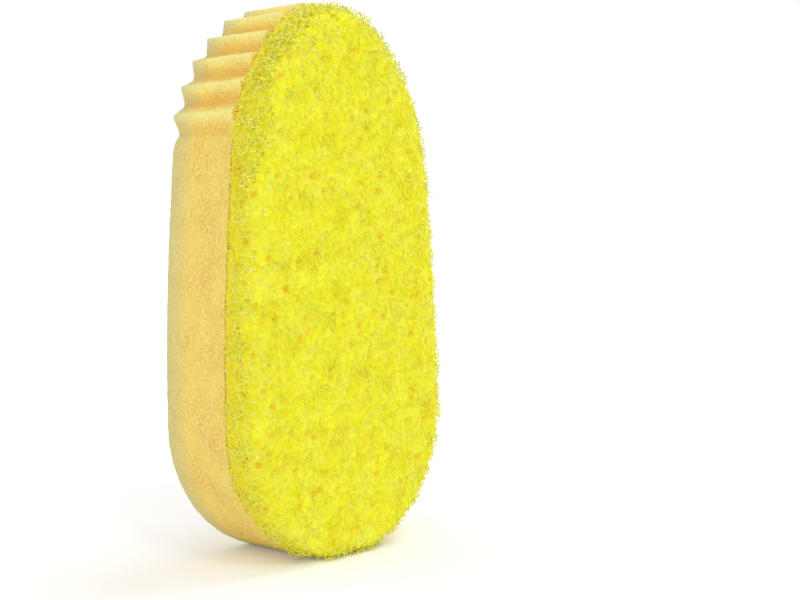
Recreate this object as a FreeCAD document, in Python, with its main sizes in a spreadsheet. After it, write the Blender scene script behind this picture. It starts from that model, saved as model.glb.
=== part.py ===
import FreeCAD, Part
import Sketcher
import math
import os
import re

# Head of a dish wand: two bonded foam layers and, in the back, a latching socket for the wand's neck.
# The head stands on its heel with the toe up: +Z runs to the toe, the scrub face looks along -Y.

# Driving sizes in millimetres. Names that end in count are plain numbers.
SIZES = {
    # Outline of the head, seen from the front
    "head_length": 120.0,
    "head_width": 58.9,
    "widest_height": 30.0,
    "foot_width": 10.0,
    "heel_radius": 11.0,
    "side_radius": 500.0,
    "shoulder_radius": 41.5,
    "toe_radius": 17.0,
    # Foam layers
    "scrub_thick": 8.5,
    "scrub_round": 4.0,
    "sponge_thick": 19.5,
    "foam_film_thick": 0.3,
    "foam_film_inset": 1.0,
    # Ridges across the toe of the sponge
    "ridge_pitch": 6.6,
    "ridge_rise": 1.25,
    "ridge_sink": 1.35,
    "ridge_round": 0.6,
    "ridge_runout": 5.0,
    "ridge_count": 12,
    # Base moulding and its place in the back of the sponge
    "socket_height": 52.0,
    "base_length": 58.0,
    "base_width": 36.0,
    "base_corner": 8.0,
    "base_thick": 2.0,
    "base_film_thick": 0.3,
    "recess_depth": 3.0,
    "foam_gap": 0.3,
    "tray_wall": 1.6,
    "tray_depth": 3.2,
    "rim_round": 0.8,
    # Socket for the wand's neck
    "neck_radius": 7.0,
    "socket_wall": 1.6,
    "cup_depth": 9.5,
    "cup_floor": 2.0,
    "port_radius": 1.8,
    "channel_depth": 4.0,
    "seal_cord": 1.8,
    "seal_gap": 0.05,
    "seal_depth": 3.0,
    "groove_width": 2.0,
    # Latch slide, its travel and its running clearances
    "latch_travel": 2.5,
    "slide_width": 20.0,
    "slide_top": 17.0,
    "slide_thick": 2.4,
    "slide_corner": 2.5,
    "slide_gap": 0.4,
    "neck_gap": 0.3,
    # Thumb tab on the slide
    "tab_width": 13.0,
    "tab_length": 9.0,
    "tab_drop": 17.5,
    "tab_proud": 2.2,
    "tab_round": 1.0,
    "tab_peg_radius": 1.5,
    "tab_peg_place": 3.5,
    "grip_radius": 0.6,
    "grip_pitch": 2.2,
    "grip_count": 3,
    # Cover and the pegs that hold it
    "cover_thick": 1.6,
    "cover_gap": 1.0,
    "boss_radius": 2.4,
    "boss_height_place": 13.0,
    "peg_radius": 1.2,
    "peg_length": 2.6,
    # Return spring of the latch
    "spring_radius": 1.2,
    "spring_wire": 0.4,
    "spring_gap": 0.05,
    "spring_post_radius": 0.7,
    "spring_post_length": 2.5,
    "spring_turn_count": 7,
    # Cuts run past the faces they open by this much
    "overrun": 1.0,
}

doc = FreeCAD.newDocument("DishWandHead")
sheet = doc.addObject("Spreadsheet::Sheet", "Sizes")
for row, (alias, number) in enumerate(SIZES.items(), start=1):
    sheet.set("A%d" % row, alias)
    sheet.set("B%d" % row, str(number))
    sheet.setAlias("B%d" % row, alias)
doc.recompute()

Vector = FreeCAD.Vector
ALONG_Y = FreeCAD.Rotation(Vector(1, 0, 0), -90)
ALONG_Z = FreeCAD.Rotation()
ALONG_X = FreeCAD.Rotation(Vector(0, 1, 0), 90)
QUARTER_TURN = math.pi / 2

# Share of a quarter turn that the heel's arc takes before the flank goes on
HEEL_TURN_SHARE = 0.22


def size(alias):
    """Value of one driving size, read from the sheet."""
    return float(sheet.get(alias))


def cells(text):
    """Expression in which every driving size is a cell of the sheet."""
    return re.sub(r"[a-z_]{3,}", lambda word: "Sizes." + word.group(), text)


# Levels through the depth of the head, from the scrub face to the top of the thumb tab
DEPTH = (
    "(scrub_thick + foam_film_thick + sponge_thick - recess_depth"
    " + base_film_thick + base_thick + tray_depth + cover_thick + tab_proud)"
)
SEAM = "(scrub_thick - %s / 2)" % DEPTH
SPONGE_FRONT = "(%s + foam_film_thick)" % SEAM
RECESS_FLOOR = "(%s + sponge_thick - recess_depth)" % SPONGE_FRONT
BASE_UNDER = "(%s + base_film_thick)" % RECESS_FLOOR

# Levels inside the connector, measured from the underside of its base
TRAY_FLOOR = "base_thick"
TRAY_RIM = "(base_thick + tray_depth)"
SLIDE_UNDER = "(base_thick + (tray_depth - slide_thick) / 2)"
SLIDE_OVER = "(base_thick + (tray_depth + slide_thick) / 2)"
SPRING_LEVEL = "(base_thick + tray_depth / 2)"
COVER_FACE = "(base_thick + tray_depth + cover_thick)"
TRAY_END = "(base_length / 2 - tray_wall)"
CUP_RADIUS = "(neck_radius + seal_gap + seal_cord + seal_gap + socket_wall)"
BOSS_PLACE = "(slide_width / 2 + slide_gap + boss_radius)"


def new_body(label, level, height="0"):
    """Empty body whose own origin lies on the head's middle plane at a level and a height."""
    body = doc.addObject("PartDesign::Body", label)
    body.Label = label
    body.setExpression("Placement.Base.y", cells(level))
    body.setExpression("Placement.Base.z", cells(height))
    return body


def block(body, kind, name, spans):
    """Box from (start, length) pairs along X, Y and Z. The kind is Additive or Subtractive."""
    feature = body.newObject("PartDesign::%sBox" % kind, name)
    for axis, side, (start, length) in zip("xyz", ("Length", "Width", "Height"), spans):
        feature.setExpression("Placement.Base." + axis, cells(start))
        feature.setExpression(side, cells(length))
    doc.recompute()
    return feature


def rod(body, kind, name, radius, length, base, turn=ALONG_Y):
    """Cylinder that starts at its base point and runs along the turned axis."""
    feature = body.newObject("PartDesign::%sCylinder" % kind, name)
    feature.Placement = FreeCAD.Placement(Vector(), turn)
    feature.setExpression("Radius", cells(radius))
    feature.setExpression("Height", cells(length))
    for axis, place in zip("xyz", base):
        feature.setExpression("Placement.Base." + axis, cells(place))
    doc.recompute()
    return feature


def rounded(body, name, radius, wanted):
    """Fillet on those edges of the body's last feature that the test picks."""
    tip = body.Tip
    names = ["Edge%d" % (i + 1) for i, edge in enumerate(tip.Shape.Edges) if wanted(edge)]
    if not names:
        raise RuntimeError("no edge to round for " + name)
    feature = body.newObject("PartDesign::Fillet", name)
    feature.Base = (tip, names)
    feature.setExpression("Radius", cells(radius))
    doc.recompute()
    return feature


def same(first, second):
    """True where two lengths agree within a small share of the head."""
    agree_share = 1e-6
    return abs(first - second) < agree_share * size("head_length")


def runs_along_y(edge):
    """True for a straight edge that runs through the depth."""
    ends = [vertex.Point for vertex in edge.Vertexes]
    return len(ends) == 2 and same(ends[0].x, ends[1].x) and same(ends[0].z, ends[1].z)


def lies_at_level(level):
    """Test for edges that lie whole on one level of the depth."""
    return lambda edge: same(edge.BoundBox.YMin, level) and same(edge.BoundBox.YMax, level)


def arc(centre, radius, start, end):
    """Arc of a circle from one angle to another, counter-clockwise."""
    circle = Part.Circle(Vector(centre[0], centre[1], 0), Vector(0, 0, 1), radius)
    return Part.ArcOfCircle(circle, start, end)


def angle_from(centre, target):
    return math.atan2(target[1] - centre[1], target[0] - centre[0])


def meeting(first, first_radius, second, second_radius):
    """Lower right point where two circles meet."""
    across = (second[0] - first[0], second[1] - first[1])
    apart = math.hypot(*across)
    reach = (first_radius ** 2 - second_radius ** 2 + apart ** 2) / (2 * apart)
    aside = math.sqrt(first_radius ** 2 - reach ** 2)
    unit = (across[0] / apart, across[1] / apart)
    return (
        first[0] + unit[0] * reach + unit[1] * aside,
        first[1] + unit[1] * reach - unit[0] * aside,
    )


def point_on(centre, radius, angle):
    return (centre[0] + radius * math.cos(angle), centre[1] + radius * math.sin(angle))


def flank_arcs(start, angle, end):
    """Two arcs of equal turn from a point on the heel up to the widest point, where they run upright."""
    bend = angle / 2
    low = (math.cos(bend) - math.cos(angle), math.sin(bend) - math.sin(angle))
    high = (math.cos(0) - math.cos(bend), math.sin(0) - math.sin(bend))
    run = (end[0] - start[0], end[1] - start[1])
    spread = low[0] * high[1] - low[1] * high[0]
    low_radius = (run[0] * high[1] - run[1] * high[0]) / spread
    high_radius = (low[0] * run[1] - low[1] * run[0]) / spread
    low_centre = point_on(start, -low_radius, angle)
    high_centre = (end[0] - high_radius, end[1])
    return (low_centre, low_radius, angle, bend), (high_centre, high_radius, bend, 0)


def half_outline(inset=0):
    """Arcs of the right half outline from the foot to the toe: centre, radius, first and last angle."""
    widest = (size("head_width") / 2, size("widest_height"))
    heel_radius = size("heel_radius")
    heel = (size("foot_width") / 2, heel_radius)
    heel_end = HEEL_TURN_SHARE * QUARTER_TURN - QUARTER_TURN
    low_flank, high_flank = flank_arcs(point_on(heel, heel_radius, heel_end), heel_end, widest)
    side_radius = size("side_radius")
    side = (widest[0] - side_radius, widest[1])
    toe_radius = size("toe_radius")
    toe = (0, size("head_length") - toe_radius)
    shoulder_radius = size("shoulder_radius")
    shoulder = meeting(side, side_radius - shoulder_radius, toe, shoulder_radius - toe_radius)
    side_end = angle_from(side, shoulder)
    shoulder_end = angle_from(shoulder, toe)
    pieces = [
        (heel, heel_radius, -QUARTER_TURN, heel_end),
        low_flank,
        high_flank,
        (side, side_radius, 0, side_end),
        (shoulder, shoulder_radius, side_end, shoulder_end),
        (toe, toe_radius, shoulder_end, QUARTER_TURN),
    ]
    return [(centre, radius - inset, start, end) for centre, radius, start, end in pieces]


def mirrored(piece):
    """The same arc on the left half, still counter-clockwise."""
    centre, radius, start, end = piece
    return ((-centre[0], centre[1]), radius, math.pi - end, math.pi - start)


def outline_arcs(inset=0):
    """Both halves of the outline, with the toe as one arc."""
    right = half_outline(inset)
    toe_centre, toe_radius, toe_start, _ = right.pop()
    toe = (toe_centre, toe_radius, toe_start, math.pi - toe_start)
    return right + [toe] + [mirrored(piece) for piece in reversed(right)]


def new_sketch(body, name):
    """Sketch on the body's own front plane. Its X is the body's X and its Y is the body's Z."""
    sketch = body.newObject("Sketcher::SketchObject", name)
    front = [plane for plane in body.Origin.OriginFeatures if plane.Role == "XZ_Plane"]
    sketch.AttachmentSupport = [(front[0], "")]
    sketch.MapMode = "FlatFace"
    return sketch


def close_loop(sketch, curves):
    """Put curves into a sketch in order and tie the ends that meet."""
    for curve in curves:
        sketch.addGeometry(curve, False)
    for index in range(len(curves)):
        following = (index + 1) % len(curves)
        pairs = [(mine, other) for mine in (1, 2) for other in (1, 2)]
        gaps = [
            (sketch.getPoint(index, mine) - sketch.getPoint(following, other)).Length
            for mine, other in pairs
        ]
        mine, other = pairs[gaps.index(min(gaps))]
        sketch.addConstraint(Sketcher.Constraint("Coincident", index, mine, following, other))


def tie_radius(sketch, index, alias):
    """Bind the radius of one arc of a sketch to a cell."""
    number = sketch.addConstraint(Sketcher.Constraint("Radius", index, size(alias)))
    sketch.setExpression("Constraints[%d]" % number, cells(alias))


def foot_line(arcs):
    """Straight foot from the end of the last arc to the start of the first."""
    left = point_on(*arcs[-1][:2], arcs[-1][3])
    right = point_on(*arcs[0][:3])
    return Part.LineSegment(Vector(*left, 0), Vector(*right, 0))


def pad(body, sketch, name, length, backward):
    """Extrude a sketch towards the back or towards the scrub face."""
    feature = body.newObject("PartDesign::Pad", name)
    feature.Profile = sketch
    feature.setExpression("Length", cells(length))
    feature.Reversed = backward
    doc.recompute()
    return feature


# Scrub layer, in front of the seam
scrub = new_body("scrub_foam", SEAM)
scrub_sketch = new_sketch(scrub, "ScrubOutline")
scrub_arcs = outline_arcs()
close_loop(scrub_sketch, [foot_line(scrub_arcs)] + [arc(*piece) for piece in scrub_arcs])
for place, alias in ((1, "heel_radius"), (4, "side_radius"), (5, "shoulder_radius"), (6, "toe_radius")):
    tie_radius(scrub_sketch, place, alias)
pad(scrub, scrub_sketch, "ScrubPad", "scrub_thick", False)
rounded(scrub, "ScrubRim", "scrub_round", lies_at_level(-size("scrub_thick")))

# Adhesive film between the layers, a little smaller than they are
film = new_body("foam_bond", SEAM)
film_sketch = new_sketch(film, "FilmOutline")
film_arcs = outline_arcs(size("foam_film_inset"))
close_loop(film_sketch, [foot_line(film_arcs)] + [arc(*piece) for piece in film_arcs])
pad(film, film_sketch, "FilmPad", "foam_film_thick", True)


# Where the ridges run out into the plain side, along the outline from the toe's tip
RIDGE_END = size("ridge_count") * size("ridge_pitch") / 2 + size("ridge_runout")


def toe_path(distance, offset):
    """Point at a distance along the right outline from the toe's tip, moved out by an offset."""
    left_over = distance
    for centre, radius, start, end in reversed(half_outline()):
        stretch = radius * (end - start)
        if left_over <= stretch:
            return point_on(centre, radius + offset, end - left_over / radius)
        left_over -= stretch
    raise RuntimeError("the ridges run past the heel")


def ridge_point(distance, offset):
    """Point of the ridged toe, on either side of its tip. Positive distances lie on the right."""
    x, z = toe_path(abs(distance), offset)
    return Vector(math.copysign(x, distance), z, 0)


def plain_arcs(distance):
    """Arcs of the right half from the foot up to a distance from the toe's tip."""
    kept = []
    left_over = distance
    for centre, radius, start, end in reversed(half_outline()):
        stretch = radius * (end - start)
        if left_over < stretch:
            kept.insert(0, (centre, radius, start, end - max(left_over, 0) / radius))
        left_over -= stretch
    return kept


def rounded_corner(before, corner, after, radius):
    """Ends of the arc that rounds a corner between two straight runs, with the arc between them."""
    back = (before - corner).normalize()
    onward = (after - corner).normalize()
    half_angle = back.getAngle(onward) / 2
    reach = radius / math.tan(half_angle)
    inward = (back + onward).normalize()
    top = corner + inward * (radius / math.sin(half_angle) - radius)
    first, last = corner + back * reach, corner + onward * reach
    return first, Part.Arc(first, top, last), last


def runout(distance, groove):
    """Arc that leaves the plain side smoothly and runs to a point in the first groove."""
    start = ridge_point(distance, 0)
    inward = (ridge_point(distance, -size("ridge_sink")) - start).normalize()
    run = groove - start
    radius = run.Length ** 2 / (2 * run.dot(inward))
    centre = start + inward * radius
    middle = centre + (start + run / 2 - centre).normalize() * radius
    return Part.Arc(start, middle, groove)


def ridge_curves():
    """Crests and grooves over the toe from right to left: straight flanks with rounded corners."""
    half_pitch = size("ridge_pitch") / 2
    last = int(size("ridge_count"))
    corners = [ridge_point(RIDGE_END, 0)]
    for step in range(last, -last - 1, -1):
        crest = (step + last) % 2 == 1
        corners.append(ridge_point(step * half_pitch, size("ridge_rise") if crest else -size("ridge_sink")))
    corners.append(ridge_point(-RIDGE_END, 0))
    rounds = [
        rounded_corner(*corners[index - 1 : index + 2], size("ridge_round"))
        for index in range(1, len(corners) - 1)
    ]
    curves = [runout(RIDGE_END, rounds[0][0])]
    for (_, round_arc, leave), (arrive, _, _) in zip(rounds, rounds[1:]):
        curves += [round_arc, Part.LineSegment(leave, arrive)]
    curves += [rounds[-1][1], runout(-RIDGE_END, rounds[-1][2])]
    return curves


# Sponge layer behind the seam, with the ridged toe and the seat of the connector
sponge = new_body("sponge_foam", SPONGE_FRONT)
sponge_sketch = new_sketch(sponge, "SpongeOutline")
side_arcs = plain_arcs(RIDGE_END)
far_arcs = [mirrored(piece) for piece in reversed(side_arcs)]
sponge_curves = [foot_line(side_arcs + far_arcs)]
sponge_curves += [arc(*piece) for piece in side_arcs]
sponge_curves += ridge_curves()
sponge_curves += [arc(*piece) for piece in far_arcs]
close_loop(sponge_sketch, sponge_curves)
pad(sponge, sponge_sketch, "SpongePad", "sponge_thick", True)
block(
    sponge,
    "Subtractive",
    "BaseRecess",
    (
        ("-base_width / 2 - foam_gap", "base_width + 2 * foam_gap"),
        ("sponge_thick - recess_depth", "recess_depth + overrun"),
        ("socket_height - base_length / 2 - foam_gap", "base_length + 2 * foam_gap"),
    ),
)
recess_top = size("socket_height") + size("base_length") / 2 + size("foam_gap")
recess_foot = size("socket_height") - size("base_length") / 2 - size("foam_gap")
recess_side = size("base_width") / 2 + size("foam_gap")


def recess_corner(edge):
    """True for the four upright corners of the recess."""
    middle = edge.BoundBox.Center
    at_side = same(abs(middle.x), recess_side)
    return runs_along_y(edge) and at_side and (same(middle.z, recess_top) or same(middle.z, recess_foot))


rounded(sponge, "RecessCorners", "base_corner + foam_gap", recess_corner)
CUP_SEAT = "(sponge_thick - recess_depth + base_film_thick - cup_depth - foam_gap)"
rod(
    sponge,
    "Subtractive",
    "CupSeat",
    CUP_RADIUS + " + foam_gap",
    "cup_depth + foam_gap + recess_depth",
    ("0", CUP_SEAT, "socket_height"),
)
rod(
    sponge,
    "Subtractive",
    "SoapChannel",
    "port_radius",
    "channel_depth + overrun",
    ("0", CUP_SEAT + " - channel_depth", "socket_height"),
)

# Adhesive film under the base, with a hole for the cup
base_film = new_body("base_bond", RECESS_FLOOR, "socket_height")
block(
    base_film,
    "Additive",
    "BaseFilm",
    (
        ("-base_width / 2", "base_width"),
        ("0", "base_film_thick"),
        ("-base_length / 2", "base_length"),
    ),
)
rounded(base_film, "FilmCorners", "base_corner", runs_along_y)
rod(
    base_film,
    "Subtractive",
    "FilmHole",
    CUP_RADIUS + " + foam_gap",
    "base_film_thick + 2 * overrun",
    ("0", "-overrun", "0"),
)

# Base moulding: tray for the latch, cup with the neck's socket, soap port
housing = new_body("socket_housing", BASE_UNDER, "socket_height")
block(
    housing,
    "Additive",
    "BaseBlock",
    (
        ("-base_width / 2", "base_width"),
        ("0", TRAY_RIM),
        ("-base_length / 2", "base_length"),
    ),
)
block(
    housing,
    "Subtractive",
    "Tray",
    (
        ("tray_wall - base_width / 2", "base_width - 2 * tray_wall"),
        (TRAY_FLOOR, "tray_depth + overrun"),
        ("-" + TRAY_END, "2 * " + TRAY_END),
    ),
)
tray_side = size("base_width") / 2 - size("tray_wall")


def tray_corner(edge):
    """True for the four inner corners of the tray."""
    return runs_along_y(edge) and same(abs(edge.BoundBox.Center.x), tray_side)


rounded(housing, "TrayCorners", "base_corner - tray_wall", tray_corner)
base_side = size("base_width") / 2


def base_corner(edge):
    """True for the four outer corners of the base."""
    return runs_along_y(edge) and same(abs(edge.BoundBox.Center.x), base_side)


rounded(housing, "BaseCorners", "base_corner", base_corner)
rod(housing, "Additive", "Cup", CUP_RADIUS, "cup_depth + base_thick", ("0", "-cup_depth", "0"))
for side in ("", "-"):
    for end in ("", "-"):
        name = "Boss" + ("Right" if side == "" else "Left") + ("Toe" if end == "" else "Heel")
        place = (side + BOSS_PLACE, TRAY_FLOOR, end + "boss_height_place")
        rod(housing, "Additive", name, "boss_radius", "tray_depth", place)
        hole_place = (side + BOSS_PLACE, TRAY_RIM + " - peg_length", end + "boss_height_place")
        rod(housing, "Subtractive", name + "Hole", "peg_radius", "peg_length + overrun", hole_place)
rod(
    housing,
    "Additive",
    "SpringPost",
    "spring_post_radius",
    "spring_post_length + tray_wall / 2",
    ("0", SPRING_LEVEL, TRAY_END + " - spring_post_length"),
    ALONG_Z,
)
rod(
    housing,
    "Subtractive",
    "NeckSocket",
    "neck_radius",
    "base_thick + cup_depth - cup_floor + overrun",
    ("0", "cup_floor - cup_depth", "0"),
)
rod(
    housing,
    "Subtractive",
    "SealGroove",
    "neck_radius + seal_gap + seal_cord + seal_gap",
    "groove_width",
    ("0", TRAY_FLOOR + " - seal_depth - groove_width / 2", "0"),
)
rod(
    housing,
    "Subtractive",
    "SoapPort",
    "port_radius",
    "cup_floor + 2 * overrun",
    ("0", "-cup_depth - overrun", "0"),
)

# Seal ring, drawn as it lies squeezed by the neck
seal = new_body("neck_seal", BASE_UNDER, "socket_height")
ring = seal.newObject("PartDesign::AdditiveTorus", "SealRing")
ring.Placement = FreeCAD.Placement(Vector(), ALONG_Y)
ring.setExpression("Radius1", cells("neck_radius + seal_gap + seal_cord / 2"))
ring.setExpression("Radius2", cells("seal_cord / 2"))
ring.setExpression("Placement.Base.y", cells(TRAY_FLOOR + " - seal_depth"))
doc.recompute()

# Latch slide at rest, pushed towards the heel by its spring
SLIDE_FOOT = "(slide_gap - %s)" % TRAY_END
SLIDE_LENGTH = "(slide_top - %s)" % SLIDE_FOOT
slide = new_body("latch_slide", BASE_UNDER, "socket_height")
block(
    slide,
    "Additive",
    "SlidePlate",
    (
        ("-slide_width / 2", "slide_width"),
        (SLIDE_UNDER, "slide_thick"),
        (SLIDE_FOOT, SLIDE_LENGTH),
    ),
)
rounded(slide, "SlideCorners", "slide_corner", runs_along_y)
rod(
    slide,
    "Subtractive",
    "NeckHole",
    "neck_radius + neck_gap",
    "slide_thick + 2 * overrun",
    ("0", SLIDE_UNDER + " - overrun", "-latch_travel"),
)
for side, name in (("", "Right"), ("-", "Left")):
    rod(
        slide,
        "Subtractive",
        "TabHole" + name,
        "tab_peg_radius",
        "slide_thick + 2 * overrun",
        (side + "tab_peg_place", SLIDE_UNDER + " - overrun", "-tab_drop"),
    )
rod(
    slide,
    "Additive",
    "SlidePost",
    "spring_post_radius",
    "spring_post_length + slide_corner",
    ("0", SPRING_LEVEL, "slide_top - slide_corner"),
    ALONG_Z,
)

# Thumb tab, pegged into the slide and standing through the cover
tab = new_body("release_tab", BASE_UNDER, "socket_height")
block(
    tab,
    "Additive",
    "TabBlock",
    (
        ("-tab_width / 2", "tab_width"),
        (SLIDE_OVER, "%s + tab_proud - %s" % (COVER_FACE, SLIDE_OVER)),
        ("-tab_drop - tab_length / 2", "tab_length"),
    ),
)
rounded(tab, "TabCorners", "tab_round", runs_along_y)
tab_face = size("base_thick") + size("tray_depth") + size("cover_thick") + size("tab_proud")
rounded(tab, "TabRim", "tab_round / 2", lies_at_level(tab_face))
for index in range(int(size("grip_count"))):
    shift = "(%d - (grip_count - 1) / 2) * grip_pitch" % index
    rod(
        tab,
        "Subtractive",
        "Grip%d" % (index + 1),
        "grip_radius",
        "tab_width + 2 * overrun",
        ("-tab_width / 2 - overrun", COVER_FACE + " + tab_proud", "-tab_drop + " + shift),
        ALONG_X,
    )
for side, name in (("", "Right"), ("-", "Left")):
    rod(
        tab,
        "Additive",
        "TabPeg" + name,
        "tab_peg_radius",
        "slide_thick + tab_round",
        (side + "tab_peg_place", SLIDE_UNDER, "-tab_drop"),
    )

# Cover over the tray, with the neck's hole, the tab's slot and four pegs
cover = new_body("cover_plate", BASE_UNDER, "socket_height")
block(
    cover,
    "Additive",
    "CoverPlate",
    (
        ("-base_width / 2", "base_width"),
        (TRAY_RIM, "cover_thick"),
        ("-base_length / 2", "base_length"),
    ),
)
rounded(cover, "CoverCorners", "base_corner", runs_along_y)
cover_level = size("base_thick") + size("tray_depth") + size("cover_thick")
rounded(cover, "CoverRim", "rim_round", lies_at_level(cover_level))
rod(
    cover,
    "Subtractive",
    "CoverHole",
    "neck_radius + cover_gap",
    "cover_thick + 2 * overrun",
    ("0", TRAY_RIM + " - overrun", "0"),
)
block(
    cover,
    "Subtractive",
    "TabSlot",
    (
        ("-tab_width / 2 - slide_gap", "tab_width + 2 * slide_gap"),
        (TRAY_RIM + " - overrun", "cover_thick + 2 * overrun"),
        ("-tab_drop - tab_length / 2 - slide_gap", "tab_length + latch_travel + 2 * slide_gap"),
    ),
)
for side in ("", "-"):
    for end in ("", "-"):
        name = "Peg" + ("Right" if side == "" else "Left") + ("Toe" if end == "" else "Heel")
        place = (side + BOSS_PLACE, TRAY_RIM + " - peg_length", end + "boss_height_place")
        rod(cover, "Additive", name, "peg_radius", "peg_length + cover_thick / 2", place)


def spring_point(turns, height):
    """Point of the spring's centre line and its direction there."""
    radius = size("spring_radius")
    angle = 2 * math.pi * turns
    climb = height / size("spring_turn_count")
    point = Vector(radius * math.cos(angle), radius * math.sin(angle), climb * turns)
    run = Vector(-math.sin(angle) * radius, math.cos(angle) * radius, climb / (2 * math.pi))
    return point, run.normalize()


def bend(start, corner, end):
    """Arc that leaves its start towards a corner and ends towards the same corner."""
    half_chord = (end - start).Length / 2
    weight = half_chord / (corner - start).Length
    middle = (start + end + corner * (2 * weight)) * (1 / (2 + 2 * weight))
    return Part.Arc(start, middle, end).toShape()


def spring_edges(height):
    """Two tangent arcs for every quarter turn of the spring."""
    quarters = int(4 * size("spring_turn_count"))
    edges = []
    for index in range(quarters):
        start, start_run = spring_point(index / 4, height)
        end, end_run = spring_point((index + 1) / 4, height)
        gap = end - start
        both = start_run + end_run
        spread = 1 - start_run.dot(end_run)
        lean = gap.dot(both)
        reach = (math.sqrt(lean ** 2 + 2 * spread * gap.dot(gap)) - lean) / (2 * spread)
        first_corner = start + start_run * reach
        last_corner = end - end_run * reach
        joint = (first_corner + last_corner) * (1 / 2)
        edges.append(bend(start, first_corner, joint))
        edges.append(bend(joint, last_corner, end))
    return edges


# Return spring between the slide and the tray's end wall
spring_foot = size("slide_top") + size("spring_wire") / 2 + size("spring_gap")
spring_head = size("base_length") / 2 - size("tray_wall") - size("spring_wire") / 2 - size("spring_gap")
spring_path = Part.Wire(spring_edges(spring_head - spring_foot))
wire_start, wire_run = spring_point(0, spring_head - spring_foot)
wire_section = Part.Wire([Part.makeCircle(size("spring_wire") / 2, wire_start, wire_run)])
spring = doc.addObject("Part::Feature", "latch_spring")
spring.Label = "latch_spring"
spring.Shape = spring_path.makePipeShell([wire_section], True, False)
spring.setExpression("Placement.Base.y", cells("%s + %s" % (BASE_UNDER, SPRING_LEVEL)))
spring.setExpression("Placement.Base.z", cells("socket_height + slide_top + spring_wire / 2 + spring_gap"))
doc.recompute()
turn_gap = (spring_head - spring_foot) / size("spring_turn_count") - size("spring_wire")
print("least gap between the spring's turns: %.2f mm" % turn_gap)

pieces = [scrub, film, sponge, base_film, housing, seal, slide, tab, cover, spring]
for item in doc.Objects:
    if "Invalid" in item.State or "Error" in item.State:
        raise RuntimeError("%s failed: %s" % (item.Name, item.State))
for piece in pieces:
    if piece.Shape.isNull() or not piece.Shape.isValid() or len(piece.Shape.Solids) != 1:
        raise RuntimeError("%s isn't one valid solid" % piece.Label)
os.makedirs("parts", exist_ok=True)
for piece in pieces:
    piece.Shape.exportStep("parts/%s.step" % piece.Label)
    print("%s: %.1f cubic mm" % (piece.Label, piece.Shape.Volume))
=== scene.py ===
import math

import bmesh
import bpy
import numpy as np
from bpy.props import FloatProperty, FloatVectorProperty, IntProperty, PointerProperty
from mathutils import Matrix, Vector, noise
from mathutils.bvhtree import BVHTree
from mathutils.kdtree import KDTree


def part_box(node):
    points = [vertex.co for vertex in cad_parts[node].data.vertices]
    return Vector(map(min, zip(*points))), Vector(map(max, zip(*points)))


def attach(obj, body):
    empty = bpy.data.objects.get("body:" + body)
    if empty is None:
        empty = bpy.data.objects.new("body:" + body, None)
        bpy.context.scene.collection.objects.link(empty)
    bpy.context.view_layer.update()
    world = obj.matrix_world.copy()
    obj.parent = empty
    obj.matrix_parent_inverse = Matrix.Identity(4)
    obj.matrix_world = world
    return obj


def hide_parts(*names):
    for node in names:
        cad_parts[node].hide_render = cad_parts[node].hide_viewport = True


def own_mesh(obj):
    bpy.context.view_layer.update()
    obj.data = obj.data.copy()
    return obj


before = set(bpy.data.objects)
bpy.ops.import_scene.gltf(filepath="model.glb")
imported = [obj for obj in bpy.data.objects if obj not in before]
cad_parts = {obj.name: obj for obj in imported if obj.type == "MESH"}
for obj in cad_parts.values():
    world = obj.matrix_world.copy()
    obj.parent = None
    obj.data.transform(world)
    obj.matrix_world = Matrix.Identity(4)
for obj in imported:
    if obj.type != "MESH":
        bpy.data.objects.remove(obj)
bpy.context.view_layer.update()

bl_info = {
    "name": "Dish Wand Head",
    "version": (1, 0, 0),
    "blender": (4, 5, 0),
    "location": "3D View > Sidebar > Dish Wand",
    "description": "Dresses the head of a dish wand: scrub foam, sponge, neck connector and stage",
    "category": "Object",
}

SCRUB_LOW, SCRUB_HIGH = (np.array(corner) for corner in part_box("scrub_foam"))
SPONGE_LOW, SPONGE_HIGH = (np.array(corner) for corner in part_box("sponge_foam"))
SPRING_LOW, SPRING_HIGH = (np.array(corner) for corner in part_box("latch_spring"))
SEAM = SCRUB_HIGH[1]

# Where the toe begins, and over how much it sets in, as shares of the head's height
TOE_START = 0.6
TOE_FADE = 0.25

# Distance from the middle of a packed cell to its corners, as a share of its width
CORNER_SHARE = math.sqrt(5) / 4

# Turns of the cells about X, Y and Z in radians, so that no row of cells runs along the face
LATTICE_TURNS = ((0.6, "X"), (0.4, "Y"), (0.9, "Z"))

# Slow shift of the cells: how far it goes and how long its waves are, in cells
DRIFT_REACH = 0.4
DRIFT_WAVE = 2.5

# Depth of the shallowest bowl, and what a deep cell adds, as shares of the usual depth
BOWL_LEAST = 0.3
BOWL_MORE = 0.8

# How far the rim opens below the toe, and what the toe adds, as shares of the full opening
RIM_LEAST = 0.25
RIM_MORE = 0.75

# Power that keeps the amber tint, painted shade, to the deepest cells
POCKET_POWER = 2.5

# Where the warmer tint towards the seam begins and where it would be full: painted deep shade where the
# layers meet
SEAM_TINT = (SEAM - 0.008, SEAM + 0.002)

# Waves of the cut surface in cells, its unevenness on the face, and what the outline adds
CUT_WAVE = 1.6
RAGGED_LEAST = 0.4
RAGGED_MORE = 0.6

# Range of the cut struts' length before its power, as shares of the longest whisker
WHISKER_RANGE = (-0.3, 1.0)
WHISKER_POWER = 3

# Number of sides of the rod that stands for a strut
ROD_SIDES = 3

# Range of the struts' thickness, and of that the share left at a cut end
THICKNESS_RANGE = (0.75, 1.3)
CUT_END = 0.7

# Shares of darker struts: on the face, what the outline adds, and what the toe's outline adds
DARK_FACE, DARK_RIM, DARK_TOE = 0.003, 0.012, 0.16

# Shares of paler struts, painted glints: on the face, and what the outline adds
PALE_FACE, PALE_RIM = 0.07, 0.08

# Waves per metre of the sponge's soft unevenness, and the height of the finer ones
SWELL_WAVE = 450
FINE_WAVE = 1200
FINE_SWELL = 0.7

# How much faster the greyer band, painted reflection and shade, fades away from the outline than away from
# the back
EDGE_FALL = 3

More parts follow.
